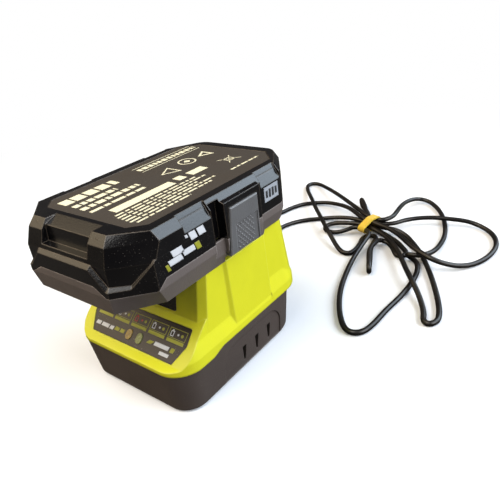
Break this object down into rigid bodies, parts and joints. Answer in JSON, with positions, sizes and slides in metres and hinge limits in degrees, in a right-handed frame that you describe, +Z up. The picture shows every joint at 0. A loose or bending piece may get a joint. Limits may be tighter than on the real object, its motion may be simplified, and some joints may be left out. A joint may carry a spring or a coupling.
{
  "type": "power tool battery charger",
  "caption": "Mains battery charger for a power tool, with a slide-in battery pack docked label side up, release latches on both sides and a tied cord.",
  "frame": {"origin": "on the table under the middle of the pack, without the cord and the plug", "axes": "+X to the right, +Y from the status panel at the front to the cord at the back, +Z up"},
  "size_m": [0.2097, 0.2911, 0.0948],
  "materials": {
    "charcoal_plastic": "fine moulded texture",
    "lime_plastic": "fine moulded texture",
    "black_liner": "smooth moulded",
    "board_green": "solder mask",
    "contact_brass": "plated",
    "ferrite": "ground",
    "winding_tape": "film tape",
    "capacitor_can": "sleeved",
    "sink_metal": "extruded",
    "foot_rubber": "matt",
    "screw_steel": "zinc plated",
    "panel_film": "satin film",
    "lens_amber": "clear moulded",
    "lens_green": "clear moulded",
    "led_body": "clear",
    "plate_black": "smooth moulded",
    "pack_black": "fine moulded texture",
    "pack_grey": "fine moulded texture",
    "label_film": "matt film",
    "button_grey": "fine moulded texture",
    "spring_steel": "drawn wire",
    "cell_sleeve": "shrunk sleeve",
    "holder_plastic": "smooth moulded",
    "nickel_strip": "rolled",
    "relief_rubber": "satin",
    "cord_vinyl": "satin",
    "tie_elastic": "woven elastic",
    "plug_vinyl": "satin"
  },
  "bodies": {
    "charger": {"base_tray": "charcoal_plastic", "upper_housing": "lime_plastic", "socket_well": "black_liner", "circuit_board": "board_green", "charge_contacts": "contact_brass", "transformer_core": "ferrite", "transformer_winding": "winding_tape", "capacitors": "capacitor_can", "heat_sink": "sink_metal", "rubber_feet": "foot_rubber", "housing_screws": "screw_steel", "status_panel": "panel_film", "led_lens_amber": "lens_amber", "led_lens_green": "lens_green", "status_leds": "led_body", "tower_plate": "plate_black", "strain_relief": "relief_rubber", "mains_cord": "cord_vinyl", "cord_tie": "tie_elastic", "mains_plug": "plug_vinyl", "plug_pins": "contact_brass"},
    "battery_pack": {"pack_upper_shell": "pack_black", "pack_lower_shell": "pack_grey", "pack_label": "label_film", "cells": "cell_sleeve", "cell_holder": "holder_plastic", "cell_links": "nickel_strip", "pack_board": "board_green", "pack_terminals": "contact_brass", "pack_screws": "screw_steel", "latch_spring_left": "spring_steel", "latch_spring_right": "spring_steel"},
    "latch_left_body": {"latch_left": "button_grey"},
    "latch_right_body": {"latch_right": "button_grey"}
  },
  "joints": [
    {"name": "pack_lift", "type": "slide", "parent": "charger", "child": "battery_pack", "axis": [0, 0, 1], "range_m": [0, 0.06]},
    {"name": "latch_left", "type": "slide", "parent": "battery_pack", "child": "latch_left_body", "axis": [1, 0, 0], "range_m": [0, 0.003], "stiffness_N_per_m": 1500, "springref_m": -0.002, "deforming": ["latch_spring_left"]},
    {"name": "latch_right", "type": "slide", "parent": "battery_pack", "child": "latch_right_body", "axis": [-1, 0, 0], "range_m": [0, 0.003], "stiffness_N_per_m": 1500, "springref_m": -0.002, "deforming": ["latch_spring_right"]}
  ]
}
